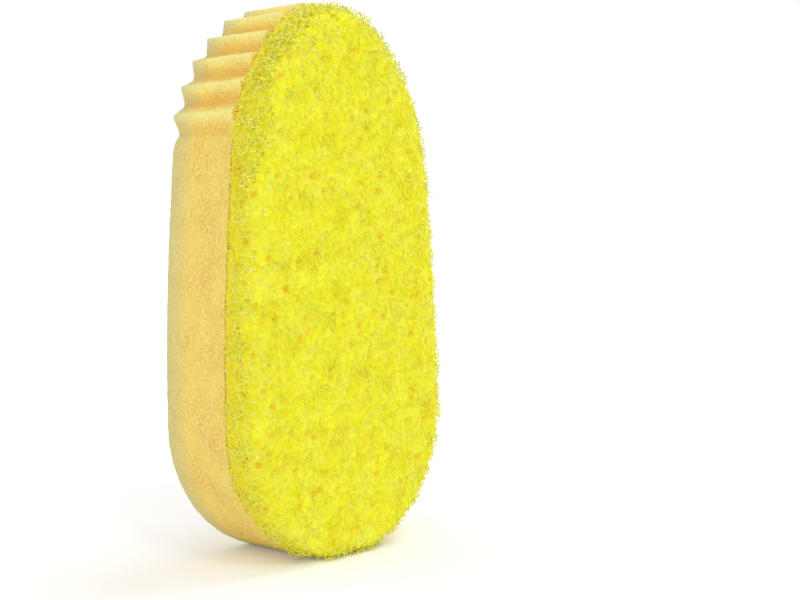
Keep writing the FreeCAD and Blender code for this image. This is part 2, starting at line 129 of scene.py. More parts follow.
# Each sun's name, the direction it shines from and its width in degrees
SUNS = (
    ("front", (-0.40, -0.82, 0.40), 70),
    ("back", (0.56, -0.09, 0.85), 40),
    ("side", (-0.92, -0.25, 0.12), 60),
    ("glint", (-0.20, -0.60, 0.75), 8),
)


def length(name, description, default):
    """Size in metres that a user may change."""
    return FloatProperty(
        name=name, description=description, default=default, min=0, unit="LENGTH", precision=5
    )


def colour(name, description, default):
    """Linear colour that a user may change."""
    return FloatVectorProperty(
        name=name, description=description, default=default, size=3, min=0, max=1, subtype="COLOR"
    )


class ScrubFoamSettings(bpy.types.PropertyGroup):
    """Coarse open-cell foam on the front."""

    cell: length("Cell", "Width of one foam cell", 0.0022)
    strut: length("Strut", "Mean radius of a strut", 0.00012)
    wander: length("Wander", "How far a corner strays from its even place", 0.0004)
    proud: length("Proud", "How far the open cells stand out of the solid", 0.00045)
    ragged: length("Ragged", "Unevenness of the cut surface along the outline", 0.0009)
    overhang: length("Overhang", "How far the open cells hang over the seam", 0.0009)
    whisker: length("Whisker", "Longest cut strut that stands out of the surface", 0.0012)
    layer: length("Layer", "Depth to which struts are built", 0.0018)
    grain: length("Grain", "Edge length of the mesh of the dense inside", 0.0005)
    uneven: length("Uneven", "Unevenness of the dense inside", 0.00015)
    bowl: length("Bowl", "Usual depth of an open cell in the dense inside", 0.0010)
    open_rim: length("Open rim", "How far the dense inside stays back along the outline of the toe", 0.0008)
    seed: IntProperty(name="Seed", description="Start of the random numbers", default=7, min=1)
    surface_colour: colour("Surface", "Colour of the outer struts", (0.96, 0.945, 0.018))
    # Painted shade: amber for the struts deep in the layer, laid towards the seam too
    deep_shade_colour: colour("Deep", "Colour of the struts deep inside", (0.93, 0.72, 0.014))
    inside_colour: colour("Inside", "Colour of the dense inside", (0.86, 0.805, 0.006))
    # Painted shade: amber at the bottom of the deep open cells
    pocket_shade_colour: colour("Pocket", "Colour at the bottom of a deep cell", (0.91, 0.59, 0.006))
    haze_colour: colour("Haze", "Colour of the dense inside's paler patches", (0.87, 0.84, 0.070))
    # Painted backlight: paler struts along the outline; the same colour also gives random pale spots
    rim_colour: colour("Rim", "Colour of the struts along the outline and in pale spots", (0.97, 0.97, 0.12))
    shade_colour: colour("Shade", "Colour of single darker struts", (0.45, 0.58, 0.06))
    glint_colour: colour("Glint", "Colour of single paler struts", (1.0, 1.0, 0.50))


class SpongeSettings(bpy.types.PropertyGroup):
    """Fine-pored foam behind the scrub layer."""

    grain: length("Grain", "Edge length of the sponge's mesh", 0.00047)
    edge_round: length("Edge round", "Rounding of the back edge", 0.0008)
    # Painted reflection and shade: the greyer band along the back edge
    edge_band: length("Edge band", "Width of the greyer band along the back edge", 0.0075)
    swell: length("Swell", "Height of the soft unevenness", 0.00012)
    # Painted light and shade on the toe's ridges: where it begins and over how much it sets in
    ridge_start: length("Ridge start", "Height where the ridges of the toe begin", 0.090)
    ridge_fade: length("Ridge fade", "Height over which their colour sets in", 0.004)
    ridge_depth: length("Ridge depth", "From a crest down to the groove beside it", 0.0023)
    main_colour: colour("Main", "Usual colour of the sponge", (1.0, 0.77, 0.115))
    pale_colour: colour("Pale", "Colour of its lighter specks", (1.0, 0.89, 0.32))
    pore_colour: colour("Pore", "Colour inside the pores", (0.80, 0.48, 0.055))
    # Painted shade between the ridges of the toe
    groove_shade_colour: colour("Groove", "Colour between the ridges", (0.86, 0.50, 0.08))
    # Painted reflection and shade along the back edge
    edge_reflection_shade_colour: colour("Edge", "Colour towards the back edge", (0.56, 0.57, 0.30))


class ConnectorSettings(bpy.types.PropertyGroup):
    """Moulded base, latch and films."""

    housing_colour: colour("Housing", "Colour of the base and its cover", (0.74, 0.73, 0.69))
    slide_colour: colour("Slide", "Colour of the latch slide", (0.42, 0.43, 0.44))
    tab_colour: colour("Tab", "Colour of the thumb tab", (0.13, 0.14, 0.15))
    seal_colour: colour("Seal", "Colour of the seal ring", (0.02, 0.02, 0.022))
    film_colour: colour("Film", "Colour of the adhesive films", (0.70, 0.58, 0.28))
    wire_colour: colour("Wire", "Colour of the spring wire", (0.60, 0.60, 0.61))
    spring_wire: length("Spring wire", "Thickness of the spring wire", 0.0004)
    spring_turns: IntProperty(name="Turns", description="Turns of the return spring", default=7)


class StageSettings(bpy.types.PropertyGroup):
    """Camera, floor and light."""

    camera_azimuth: FloatProperty(
        name="Azimuth", description="Turn of the view", default=math.radians(-46.965), subtype="ANGLE"
    )
    camera_elevation: FloatProperty(
        name="Elevation", description="Height of the view", default=math.radians(3.567), subtype="ANGLE"
    )
    camera_roll: FloatProperty(
        name="Roll", description="Lean of the picture", default=math.radians(0.884), subtype="ANGLE"
    )
    camera_distance: length("Distance", "From the head's middle to the camera", 0.31846)
    camera_right: length("Right", "How far the picture's middle lies to the right", 0.0205)
    camera_down: length("Down", "How far the picture's middle lies below", 0.004503)
    camera_lens: FloatProperty(name="Lens", description="Focal length", default=64.17, unit="CAMERA")
    floor_colour: colour("Floor", "Colour of the floor", (1.0, 1.0, 1.0))
    sky_strength: FloatProperty(name="Sky", description="Light from all around", default=0.66)
    front_strength: FloatProperty(name="Front", description="Soft sun in front", default=0.75)
    back_strength: FloatProperty(name="Back", description="Soft sun behind, on the right", default=0.65)
    side_strength: FloatProperty(name="Side", description="Low soft sun on the left", default=0.30)
    glint_strength: FloatProperty(name="Glint", description="Small sun that sparkles", default=0.22)
    floor_glow: FloatProperty(name="Glow", description="White the floor adds for the camera", default=0.11)


def settings():
    """Settings of the head in this scene."""
    return bpy.context.scene.dish_wand


def leaned(points):
    """Points of the soft layers, with the toe leaning a little to one side."""
    lean, start = settings().lean, settings().lean_start
    moved = points.copy()
    moved[..., 0] -= lean * np.clip((points[..., 2] - start) / (SCRUB_HIGH[2] - start), 0, 1)
    return moved


def toe_share(points):
    """0 for points in the lower part of the head and 1 for those in its toe."""
    return np.clip((points[:, 2] / SCRUB_HIGH[2] - TOE_START) / TOE_FADE, 0, 1)


def faces_sideways(face):
    """Whether a face belongs to a rim and not to the front or the back."""
    return abs(face.normal.y) < 0.5


def surface_tree(node, keep):
    """Search tree over those faces of a node that pass a test."""
    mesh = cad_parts[node].data
    corners = [vertex.co.copy() for vertex in mesh.vertices]
    faces = [tuple(face.vertices) for face in mesh.polygons if keep(face)]
    return BVHTree.FromPolygons(corners, faces)


def depth_below(tree, points):
    """How far each point lies below a surface. A point outside has a negative depth."""
    depth = np.empty(len(points))
    for index, point in enumerate(points):
        spot, normal, _, distance = tree.find_nearest(point)
        outside = (Vector(point) - spot).dot(normal) > 0
        depth[index] = -distance if outside else distance
    return depth


def new_piece(name, mesh, material, body, replaced=()):
    """Object that rides on a body and stands for nodes of the frame."""
    piece = bpy.data.objects.new(name, mesh)
    bpy.context.scene.collection.objects.link(piece)
    mesh.materials.clear()
    mesh.materials.append(material)
    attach(piece, body)
    if replaced:
        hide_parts(*replaced)
    return piece


def applied(piece):
    """Mesh of an object with its modifiers applied. The object is removed."""
    bpy.context.view_layer.update()
    graph = bpy.context.evaluated_depsgraph_get()
    mesh = bpy.data.meshes.new_from_object(piece.evaluated_get(graph))
    bpy.data.objects.remove(piece)
    return mesh


def even_mesh(node, grain):
    """Even fine mesh over the solid of a node."""
    solid = bmesh.new()
    solid.from_mesh(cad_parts[node].data)
    bmesh.ops.remove_doubles(solid, verts=solid.verts, dist=grain / 100)
    mesh = bpy.data.meshes.new(node + "_solid")
    solid.to_mesh(mesh)
    solid.free()
    holder = bpy.data.objects.new(node + "_solid", mesh)
    bpy.context.scene.collection.objects.link(holder)
    remesh = holder.modifiers.new("Even mesh", "REMESH")
    remesh.mode = "VOXEL"
    remesh.voxel_size = grain
    even = applied(holder)
    bpy.data.meshes.remove(mesh)
    even.name = node + "_even"
    return even


def new_material(name, **constants):
    """Material with one Principled shader and its plain settings."""
    material = bpy.data.materials.new(name)
    material.use_nodes = True
    shader = material.node_tree.nodes["Principled BSDF"]
    for socket, value in constants.items():
        shader.inputs[socket.replace("_", " ")].default_value = value
    return material, material.node_tree, shader


def add_node(tree, kind, properties=None, **inputs):
    """Node with its properties and plain inputs set. Linked inputs are given as output sockets."""
    node = tree.nodes.new(kind)
    for key, value in (properties or {}).items():
        setattr(node, key, value)
    for key, value in inputs.items():
        socket = node.inputs[key.replace("_", " ")]
        if isinstance(value, bpy.types.NodeSocket):
            tree.links.new(value, socket)
        else:
            socket.default_value = value
    return node


def blend_colours(tree, factor, first, second):
    """Colour between two colours, each a plain colour or an output socket."""
    node = tree.nodes.new("ShaderNodeMix")
    node.data_type = "RGBA"
    for socket, value in ((node.inputs[0], factor), (node.inputs[6], first), (node.inputs[7], second)):
        if isinstance(value, bpy.types.NodeSocket):
            tree.links.new(value, socket)
        elif hasattr(value, "__len__"):
            socket.default_value = (*value, 1)
        else:
            socket.default_value = value
    return node.outputs[2]


def share(tree, value, low, high):
    """Value mapped from a range to a share between 0 and 1."""
    node = add_node(tree, "ShaderNodeMapRange", Value=value, From_Min=low, From_Max=high)
    return node.outputs[0]


def camera_share(tree):
    """1 for what the camera sees, directly, in a gloss or through glass, and 0 for light that falls."""
    rays = tree.nodes.new("ShaderNodeLightPath")
    total = rays.outputs["Is Camera Ray"]
    for name in ("Is Glossy Ray", "Is Transmission Ray"):
        either = add_node(tree, "ShaderNodeMath", {"operation": "MAXIMUM"})
        tree.links.new(total, either.inputs[0])
        tree.links.new(rays.outputs[name], either.inputs[1])
        total = either.outputs[0]
    return total


def packed_cells(low, high, cell, turn):
    """Packed foam cells that fill a box: their corners, the pairs that a strut joins, their middles.

    The cells are truncated octahedra. Their corners lie on a grid of quarter cells, where one
    coordinate is a whole number of cells, one is half a cell off and one is odd. In the middles
    all coordinates are whole numbers of cells or all are half a cell off.
    """
    quarter = cell / 4
    reach = np.abs(turn.T) @ ((high - low) / 2)
    limit = np.ceil(reach / quarter).astype(int) + 1
    grid = np.stack(np.meshgrid(*[np.arange(-n, n + 1) for n in limit], indexing="ij"), axis=-1)
    is_corner = ((grid % 4 == 0).sum(axis=-1) == 1) & ((grid % 4 == 2).sum(axis=-1) == 1)
    spots = np.argwhere(is_corner)
    places = ((spots - limit) * quarter) @ turn.T + (low + high) / 2
    inside = np.all((places > low) & (places < high), axis=1)
    number = np.full(is_corner.shape, -1)
    number[tuple(spots[inside].T)] = np.arange(inside.sum())
    pairs = []
    for step in ((1, 1, 0), (1, -1, 0), (1, 0, 1), (1, 0, -1), (0, 1, 1), (0, 1, -1)):
        beside = np.roll(number, [-part for part in step], axis=(0, 1, 2))
        joined = (number >= 0) & (beside >= 0)
        pairs.append(np.stack([number[joined], beside[joined]], axis=1))
    whole = (grid % 4 == 0).all(axis=-1)
    halfway = (grid % 4 == 2).all(axis=-1)
    middles = ((np.argwhere(whole | halfway) - limit) * quarter) @ turn.T + (low + high) / 2
    return places[inside], np.concatenate(pairs), middles


def slow_drift(points, reach, wave):
    """Smooth shift of points, so that rows of cells don't line up."""
    shift = np.empty_like(points)
    for index, point in enumerate(points):
        shift[index] = noise.noise_vector(Vector(point) / wave)
    return shift * reach


def rod_group():
    """Node group that turns each wire of a mesh into a rod of the wire's own radius."""
    tree = bpy.data.node_groups.new("Foam rods", "GeometryNodeTree")
    tree.interface.new_socket("Geometry", in_out="INPUT", socket_type="NodeSocketGeometry")
    tree.interface.new_socket("Geometry", in_out="OUTPUT", socket_type="NodeSocketGeometry")
    start = tree.nodes.new("NodeGroupInput")
    finish = tree.nodes.new("NodeGroupOutput")
    radius = add_node(tree, "GeometryNodeInputNamedAttribute", {"data_type": "FLOAT"}, Name="strut_radius")
    wires = add_node(tree, "GeometryNodeMeshToCurve", Mesh=start.outputs[0])
    sized = add_node(tree, "GeometryNodeSetCurveRadius", Curve=wires.outputs[0], Radius=radius.outputs[0])
    profile = add_node(tree, "GeometryNodeCurvePrimitiveCircle", Resolution=ROD_SIDES, Radius=1.0)
    rods = add_node(
        tree,
        "GeometryNodeCurveToMesh",
        Curve=sized.outputs[0],
        Profile_Curve=profile.outputs[0],
        Fill_Caps=True,
    )
    if "Scale" in rods.inputs:
        tree.links.new(radius.outputs[0], rods.inputs["Scale"])
    tree.links.new(rods.outputs[0], finish.inputs[0])
    return tree


class DISH_WAND_OT_scrub_foam(bpy.types.Operator):
    """Build the coarse foam strut by strut"""

    bl_idname = "dish_wand.scrub_foam"
    bl_label = "Scrub Foam"

    def execute(self, context):
        foam = settings().scrub
        random = np.random.default_rng(foam.seed)
        # Unseeded, Blender's vector noise starts from the clock
        noise.seed_set(foam.seed)
        corners, pairs, middles = self.lattice(foam)
        cells = self.open_cells(middles, random)
        struts = self.cut_struts(foam, corners, pairs, random)
        rods = rod_group()
        material = self.finish(foam)
        mesh = self.dense_inside(foam, cells)
        inside = self.dense_finish(foam)
        piece = new_piece("scrub_inside", mesh, inside, "head", ["scrub_foam"])
        borders = np.linspace(SCRUB_LOW[2], SCRUB_HIGH[2], 5)
        heights = struts["points"][:, 0, 2]
        bands = np.clip(np.searchsorted(borders, heights) - 1, 0, 3)
        for band, label in enumerate(("heel", "lower", "upper", "toe")):
            chosen = {key: value[bands == band] for key, value in struts.items()}
            mesh = self.rod_mesh("scrub_struts_" + label, chosen, rods)
            piece = new_piece("scrub_struts_" + label, mesh, material, "head", ["scrub_foam"])
        bpy.data.node_groups.remove(rods)
        return {"FINISHED"}

    def lattice(self, foam):
        """Corners, struts and middles of turned and gently warped cells that fill the layer."""
        about_x, about_y, about_z = (Matrix.Rotation(angle, 3, axis) for angle, axis in LATTICE_TURNS)
        turn = about_x @ about_y @ about_z
        low, high = SCRUB_LOW - foam.cell, SCRUB_HIGH + foam.cell
        corners, pairs, middles = packed_cells(low, high, foam.cell, np.array(turn))
        reach, wave = DRIFT_REACH * foam.cell, DRIFT_WAVE * foam.cell
        return corners + slow_drift(corners, reach, wave), pairs, middles + slow_drift(middles, reach, wave)

    def open_cells(self, middles, random):
        """Search tree over the cells' middles, and how deep each cell is open, from 0 to 1."""
        tree = KDTree(len(middles))
        for index, middle in enumerate(middles):
            tree.insert(middle, index)
        tree.balance()
        return tree, random.uniform(0, 1, len(middles)) ** 2

    def openness(self, foam, cells, points):
        """How far inside its cell each point lies, from 0 at a corner to 1, and how deep the cell is."""
        tree, depths = cells
        inside = np.empty(len(points))
        deep = np.empty(len(points))
        for index, point in enumerate(points):
            _, cell, distance = tree.find(point)
            inside[index] = max(0, 1 - distance / (CORNER_SHARE * foam.cell))
            deep[index] = depths[cell]
        return inside, deep

    def dense_inside(self, foam, cells):
        """Uneven body below the open cells, where the eye no longer tells one strut from the next."""
        mesh = even_mesh("scrub_foam", foam.grain)
        places = np.empty(3 * len(mesh.vertices))
        outward = np.empty_like(places)
        mesh.vertices.foreach_get("co", places)
        mesh.vertices.foreach_get("normal", outward)
        places = places.reshape(-1, 3)
        outward = outward.reshape(-1, 3)
        wave = np.array([noise.noise(Vector(place) / foam.cell) for place in places])
        hollow, deep = self.openness(foam, cells, places)
        sunk = foam.uneven * wave + foam.bowl * hollow * (BOWL_LEAST + BOWL_MORE * deep)
        side = surface_tree("scrub_foam", faces_sideways)
        rim = np.abs(depth_below(side, places))
        near_rim = np.clip(1 - rim / (3 * foam.open_rim), 0, 1)
        sunk += foam.open_rim * near_rim * (RIM_LEAST + RIM_MORE * toe_share(places))
        sunk *= np.clip((SEAM - places[:, 1]) / foam.layer, 0.2, 1)
        # Painted shade: how much amber each point of a deep open cell gets
        pocket = (hollow * deep ** POCKET_POWER).astype(np.float32)
        places -= outward * sunk[:, None]
        mesh.attributes.new("pocket", "FLOAT", "POINT").data.foreach_set("value", pocket)
        faces_seam = outward[:, 1] > 0.6
        places[faces_seam, 1] = SEAM
        mesh.vertices.foreach_set("co", leaned(places).ravel())
        mesh.update()
        mesh.shade_smooth()
        return mesh

    def dense_finish(self, foam):
        """Translucent yellow with paler patches, with painted shade: amber in the deep cells and warmer
        towards the seam.
        """
        material, tree, shader = new_material(
            "Dense foam", Roughness=0.8, Subsurface_Weight=0.5, Subsurface_Scale=0.0010
        )
        shader.inputs["Subsurface Radius"].default_value = (1.0, 0.9, 0.2)
        place = add_node(tree, "ShaderNodeTexCoord").outputs["Object"]
        patches = add_node(tree, "ShaderNodeTexNoise", Vector=place, Scale=180.0, Detail=4.0)
        pores = add_node(tree, "ShaderNodeTexVoronoi", Vector=place, Scale=800.0)
        hazy = share(tree, patches.outputs[0], 0.42, 0.64)
        tone = blend_colours(tree, hazy, foam.inside_colour, foam.haze_colour)
        fine = share(tree, pores.outputs[0], 0.2, 1.2)
        mottled = blend_colours(tree, fine, tone, foam.surface_colour)
        pocket = add_node(tree, "ShaderNodeAttribute", {"attribute_name": "pocket"})
        from_front = add_node(tree, "ShaderNodeSeparateXYZ", Vector=place).outputs["Y"]
        # Painted shade: the deep amber grows towards the seam where the layers meet
        seam_shade_share = share(tree, from_front, *SEAM_TINT)
        seam_shaded = blend_colours(tree, seam_shade_share, mottled, foam.deep_shade_colour)
        # Painted shade in the deep cells
        pocket_shade_share = share(tree, pocket.outputs["Fac"], 0.05, 0.7)
        pocket_shaded = blend_colours(tree, pocket_shade_share, seam_shaded, foam.pocket_shade_colour)
        tree.links.new(pocket_shaded, shader.inputs["Base Color"])
        bump = add_node(tree, "ShaderNodeBump", Height=pores.outputs[0], Strength=0.8, Distance=0.0006)
        tree.links.new(bump.outputs[0], shader.inputs["Normal"])
        return material

    def cut_struts(self, foam, corners, pairs, random):
        """Struts of the shaken lattice, cut off at the layer's surface."""
        corners = corners + random.uniform(-foam.wander, foam.wander, corners.shape)
        outer = surface_tree("scrub_foam", lambda face: face.normal.y < 0.9)
        side = surface_tree("scrub_foam", faces_sideways)
        uneven = np.array([noise.noise(Vector(corner) / (CUT_WAVE * foam.cell)) for corner in corners])
        solid_depth = depth_below(outer, corners)
        rim = np.abs(depth_below(side, corners))
        near_rim = np.clip(1 - rim / (2 * foam.cell), 0, 1)
        ragged = foam.ragged * (RAGGED_LEAST + RAGGED_MORE * near_rim)
        depth = solid_depth + foam.proud + ragged * uneven
        back = SEAM - corners[:, 1] + np.where(solid_depth < 0, foam.overhang * (0.5 + uneven), 0)
        inside = (depth > 0) & (back > 0)
        shown = depth < foam.layer + foam.proud
        pairs = pairs[inside[pairs[:, 0]] | inside[pairs[:, 1]]]
        pairs = pairs[shown[pairs[:, 0]] | shown[pairs[:, 1]]]
        turned_round = ~inside[pairs[:, 0]]
        pairs[turned_round] = pairs[turned_round][:, ::-1]
        first, last = pairs[:, 0], pairs[:, 1]
        whisker = random.uniform(*WHISKER_RANGE, len(pairs)) ** WHISKER_POWER * foam.whisker
        whole = np.linalg.norm(corners[last] - corners[first], axis=1)
        with np.errstate(divide="ignore", invalid="ignore"):
            to_surface = np.where(depth[last] < 0, depth[first] / (depth[first] - depth[last]), 1.0)
            to_seam = np.where(back[last] < 0, back[first] / (back[first] - back[last]), 1.0)
        kept = np.where(to_surface < 1, np.clip(to_surface + whisker / whole, 0.05, 1), 1.0)
        kept = np.minimum(kept, to_seam)
        ends = corners[first] + (corners[last] - corners[first]) * kept[:, None]
        points = np.stack([corners[first], ends], axis=1)
        points[:, :, 2] = np.maximum(points[:, :, 2], THICKNESS_RANGE[1] * foam.strut)
        thickness = foam.strut * random.uniform(*THICKNESS_RANGE, (len(pairs), 1)) * np.ones((1, 2))
        thickness[to_surface < 1, 1] *= CUT_END
        long_enough = whole * kept > foam.strut
        return {
            "points": leaned(points[long_enough]),
            "strut_radius": thickness[long_enough],
            "depth": np.clip(depth[pairs][long_enough], 0, None),
            "rim": rim[pairs][long_enough],
            "shade": self.odd_struts(foam, corners[first], rim[first], random)[long_enough],
        }

    def odd_struts(self, foam, places, rim, random):
        """Shade of each strut: above 0 for the few darker ones, below 0 for the paler ones, which are
        painted glints, else 0.
        """
        toe = toe_share(places)
        at_rim = np.clip(1 - rim / (4 * foam.cell), 0, 1)
        darker = DARK_FACE + DARK_RIM * at_rim + DARK_TOE * at_rim * toe
        draw = random.uniform(0, 1, len(places))
        amount = random.uniform(0.3, 1, len(places))
        glint_share = PALE_FACE + PALE_RIM * at_rim
        shade = np.where(draw < darker, amount, np.where(draw > 1 - glint_share, -amount, 0))
        return np.repeat(shade[:, None], 2, axis=1)

    def rod_mesh(self, name, struts, rods):
        """Rods along the struts, with the struts' values as attributes and a patch of the map for each."""
        count = len(struts["points"])
        wires = bpy.data.meshes.new(name + "_wires")
        edges = np.arange(2 * count).reshape(-1, 2)
        wires.from_pydata(struts["points"].reshape(-1, 3).tolist(), edges.tolist(), [])
        for key in ("strut_radius", "depth", "rim", "shade"):
            attribute = wires.attributes.new(key, "FLOAT", "POINT")
            attribute.data.foreach_set("value", struts[key].ravel().astype(np.float32))
        holder = bpy.data.objects.new(name, wires)
        bpy.context.scene.collection.objects.link(holder)
        holder.modifiers.new("Rods", "NODES").node_group = rods
        mesh = applied(holder)
        bpy.data.meshes.remove(wires)
        mesh.name = name
        if len(mesh.vertices) != 2 * ROD_SIDES * count:
            raise RuntimeError("%s has %d corners for %d struts" % (name, len(mesh.vertices), count))
        self.map_patches(mesh, count)
        return mesh

    def map_patches(self, mesh, count):
        """Map with a small square for every rod."""
        corner_vertex = np.empty(len(mesh.loops), dtype=np.int32)
        mesh.loops.foreach_get("vertex_index", corner_vertex)
        rod, within = np.divmod(corner_vertex, 2 * ROD_SIDES)
        ring, side = np.divmod(within, ROD_SIDES)
        columns = math.ceil(math.sqrt(count))
        row, column = np.divmod(rod, columns)
        margin = 0.15
        width = 1 - 2 * margin
        across = (column + margin + width * side / (ROD_SIDES - 1)) / columns
        along = (row + margin + width * ring) / columns
        layer = mesh.uv_layers.new(name="OFBake")
        layer.data.foreach_set("uv", np.stack([across, along], axis=1).ravel().astype(np.float32))

    def finish(self, foam):
        """Glossy yellow struts, with painted shade that warms them deep inside, painted backlight that makes
        them paler along the outline, and painted glints on single paler struts.
        """
        material, tree, shader = new_material("Scrub foam", Roughness=0.25, IOR=1.45)
        depth = add_node(tree, "ShaderNodeAttribute", {"attribute_name": "depth"})
        rim = add_node(tree, "ShaderNodeAttribute", {"attribute_name": "rim"})
        shade = add_node(tree, "ShaderNodeAttribute", {"attribute_name": "shade"})
        place = add_node(tree, "ShaderNodeTexCoord")
        patches = add_node(
            tree, "ShaderNodeTexNoise", Vector=place.outputs["Object"], Scale=200.0, Detail=3.0
        )
        # Painted shade: struts turn to the deep amber with their depth below the surface
        sunk = share(tree, depth.outputs["Fac"], 0.0004, 0.0020)
        pale = share(tree, patches.outputs[0], 0.42, 1.0)
        outer = blend_colours(tree, pale, foam.surface_colour, foam.rim_colour)
        body = blend_colours(tree, sunk, outer, foam.deep_shade_colour)
        # Painted backlight: struts near the outline turn paler in patches
        backlight_share = share(tree, rim.outputs["Fac"], 0.006, 0.0)
        uneven = add_node(tree, "ShaderNodeMath", {"operation": "MULTIPLY"})
        tree.links.new(backlight_share, uneven.inputs[0])
        tree.links.new(share(tree, patches.outputs[0], 0.2, 0.6), uneven.inputs[1])
        rim_backlit = blend_colours(tree, uneven.outputs[0], body, foam.rim_colour)
        # Painted glints on the paler struts
        glint_share = share(tree, shade.outputs["Fac"], 0.0, -1.0)
        darker = share(tree, shade.outputs["Fac"], 0.0, 1.0)
        glints = blend_colours(tree, glint_share, rim_backlit, foam.glint_colour)
        tree.links.new(blend_colours(tree, darker, glints, foam.shade_colour), shader.inputs["Base Color"])
        return material


class DISH_WAND_OT_sponge(bpy.types.Operator):
    """Build the fine sponge with its rounded back edge"""

    bl_idname = "dish_wand.sponge"
    bl_label = "Sponge"

    def execute(self, context):
        foam = settings().sponge
        mesh = even_mesh("sponge_foam", foam.grain)
        self.shape(mesh, foam)
        mesh.shade_smooth()
        piece = new_piece("sponge_body", mesh, self.finish(foam), "head", ["sponge_foam"])
        return {"FINISHED"}

    def shape(self, mesh, foam):
        """Round the back edge and give the faces a soft unevenness."""
        side = surface_tree("sponge_foam", faces_sideways)
        outline = surface_tree("sponge_foam", self.on_outline)
        outward = np.empty(3 * len(mesh.vertices))
        mesh.vertices.foreach_get("normal", outward)
        outward = outward.reshape(-1, 3)
        places = np.empty_like(outward)
        edge = np.zeros(len(places), dtype=np.float32)
        radius = foam.edge_round
        for index, vertex in enumerate(mesh.vertices):
            place = vertex.co.copy()
            from_back = SPONGE_HIGH[1] - place.y
            _, normal, _, from_side = side.find_nearest(place)
            across = radius - from_side
            up = radius - from_back
            reach = math.hypot(across, up)
            if across > 0 and up > 0 and reach > radius:
                drawn_in = 1 - radius / reach
                place -= Vector((normal.x, 0, normal.z)) * (across * drawn_in)
                place.y -= up * drawn_in
            wave = noise.noise(place * SWELL_WAVE) + FINE_SWELL * noise.noise(place * FINE_WAVE)
            places[index] = np.array(place) + outward[index] * (foam.swell * wave)
            from_outline = outline.find_nearest(place)[3]
            # Painted reflection and shade: share of the greyer band near the back edge and the outline
            edge[index] = 1 - from_back / foam.edge_band - EDGE_FALL * from_outline / foam.edge_band
        places[:, 2] = np.maximum(places[:, 2], SPONGE_LOW[2])
        mesh.vertices.foreach_set("co", leaned(places).ravel())
        mesh.attributes.new("edge", "FLOAT", "POINT").data.foreach_set("value", np.clip(edge, 0, 1))
        groove = self.groove_share(foam, places, outward).astype(np.float32)
        mesh.attributes.new("groove", "FLOAT", "POINT").data.foreach_set("value", groove)
        mesh.update()

    def on_outline(self, face):
        """Whether a face belongs to the outer rim and not to the pocket for the base."""
        middle = Vector((SPONGE_LOW + SPONGE_HIGH) / 2)
        return faces_sideways(face) and face.normal.dot(face.center - middle) > 0

    def groove_share(self, foam, places, outward):
        """From -1 on a crest of the toe to 1 in a groove, and 0 away from the ridges; it steers the painted
        highlight on the crests and the painted shade in the grooves.
        """
        hull = bmesh.new()
        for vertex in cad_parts["sponge_foam"].data.vertices:
            hull.verts.new(vertex.co)
        bmesh.ops.convex_hull(hull, input=hull.verts)
        crests = BVHTree.FromBMesh(hull)
        hull.free()
        beside = places.copy()
        beside[:, 1] = (SPONGE_LOW[1] + SPONGE_HIGH[1]) / 2
        sunk = np.clip(2 * depth_below(crests, beside) / foam.ridge_depth - 1, -1, 1)
        toe = np.clip((places[:, 2] - foam.ridge_start) / foam.ridge_fade, 0, 1)
        rim = np.clip(3 * (1 - np.abs(outward[:, 1])), 0, 1)
        return sunk * toe * rim

    def finish(self, foam):
        """Matte peach foam with fine pores and pale specks, painted highlight on the toe's ridge crests,
        painted shade in their grooves, and painted reflection and shade along the back edge.
        """
        material, tree, shader = new_material(
            "Sponge", Roughness=0.8, Subsurface_Weight=0.25, Subsurface_Scale=0.0015
        )
        shader.inputs["Subsurface Radius"].default_value = (1.0, 0.6, 0.2)
        place = add_node(tree, "ShaderNodeTexCoord").outputs["Object"]
        edge = add_node(tree, "ShaderNodeAttribute", {"attribute_name": "edge"})
        clouds = add_node(tree, "ShaderNodeTexNoise", Vector=place, Scale=140.0, Detail=3.0)
        grain = add_node(tree, "ShaderNodeTexNoise", Vector=place, Scale=1900.0, Detail=3.0)
        cells = add_node(tree, "ShaderNodeTexVoronoi", Vector=place, Scale=2000.0)
        pits = add_node(tree, "ShaderNodeTexVoronoi", Vector=place, Scale=420.0)
        drift = share(tree, clouds.outputs[0], 0.35, 0.75)
        main = blend_colours(tree, drift, foam.main_colour, foam.pore_colour)
        walls = share(tree, cells.outputs[0], 0.35, 0.9)
        celled = blend_colours(tree, walls, main, foam.pale_colour)
        specks = share(tree, grain.outputs[0], 0.54, 0.66)
        speckled = blend_colours(tree, specks, celled, foam.pale_colour)
        holes = share(tree, pits.outputs[0], 0.16, 0.04)
        dotted = blend_colours(tree, holes, speckled, foam.pore_colour)
        groove = add_node(tree, "ShaderNodeAttribute", {"attribute_name": "groove"})
        # Painted light on the ridges: pale crests for the lit ledges, orange grooves for the shade under
        # them
        high = share(tree, groove.outputs["Fac"], -0.2, -1.2)
        deep = share(tree, groove.outputs["Fac"], -0.4, 0.9)
        crest_highlit = blend_colours(tree, high, dotted, foam.pale_colour)
        ridge_shaded = blend_colours(tree, deep, crest_highlit, foam.groove_shade_colour)
        # Painted reflection and shade along the back edge
        edge_reflection_share = add_node(tree, "ShaderNodeMath", {"operation": "MULTIPLY"})
        edge_reflection_share.inputs[1].default_value = 0.7
        tree.links.new(edge.outputs["Fac"], edge_reflection_share.inputs[0])
        edge_reflected = blend_colours(tree, edge_reflection_share.outputs[0], ridge_shaded, foam.edge_reflection_shade_colour)
        tree.links.new(edge_reflected, shader.inputs["Base Color"])
        relief = add_node(tree, "ShaderNodeMath", {"operation": "ADD"})
        tree.links.new(grain.outputs[0], relief.inputs[0])
        tree.links.new(cells.outputs[0], relief.inputs[1])
        bump = add_node(tree, "ShaderNodeBump", Height=relief.outputs[0], Strength=0.7, Distance=0.0003)
        tree.links.new(bump.outputs[0], shader.inputs["Normal"])
        return material


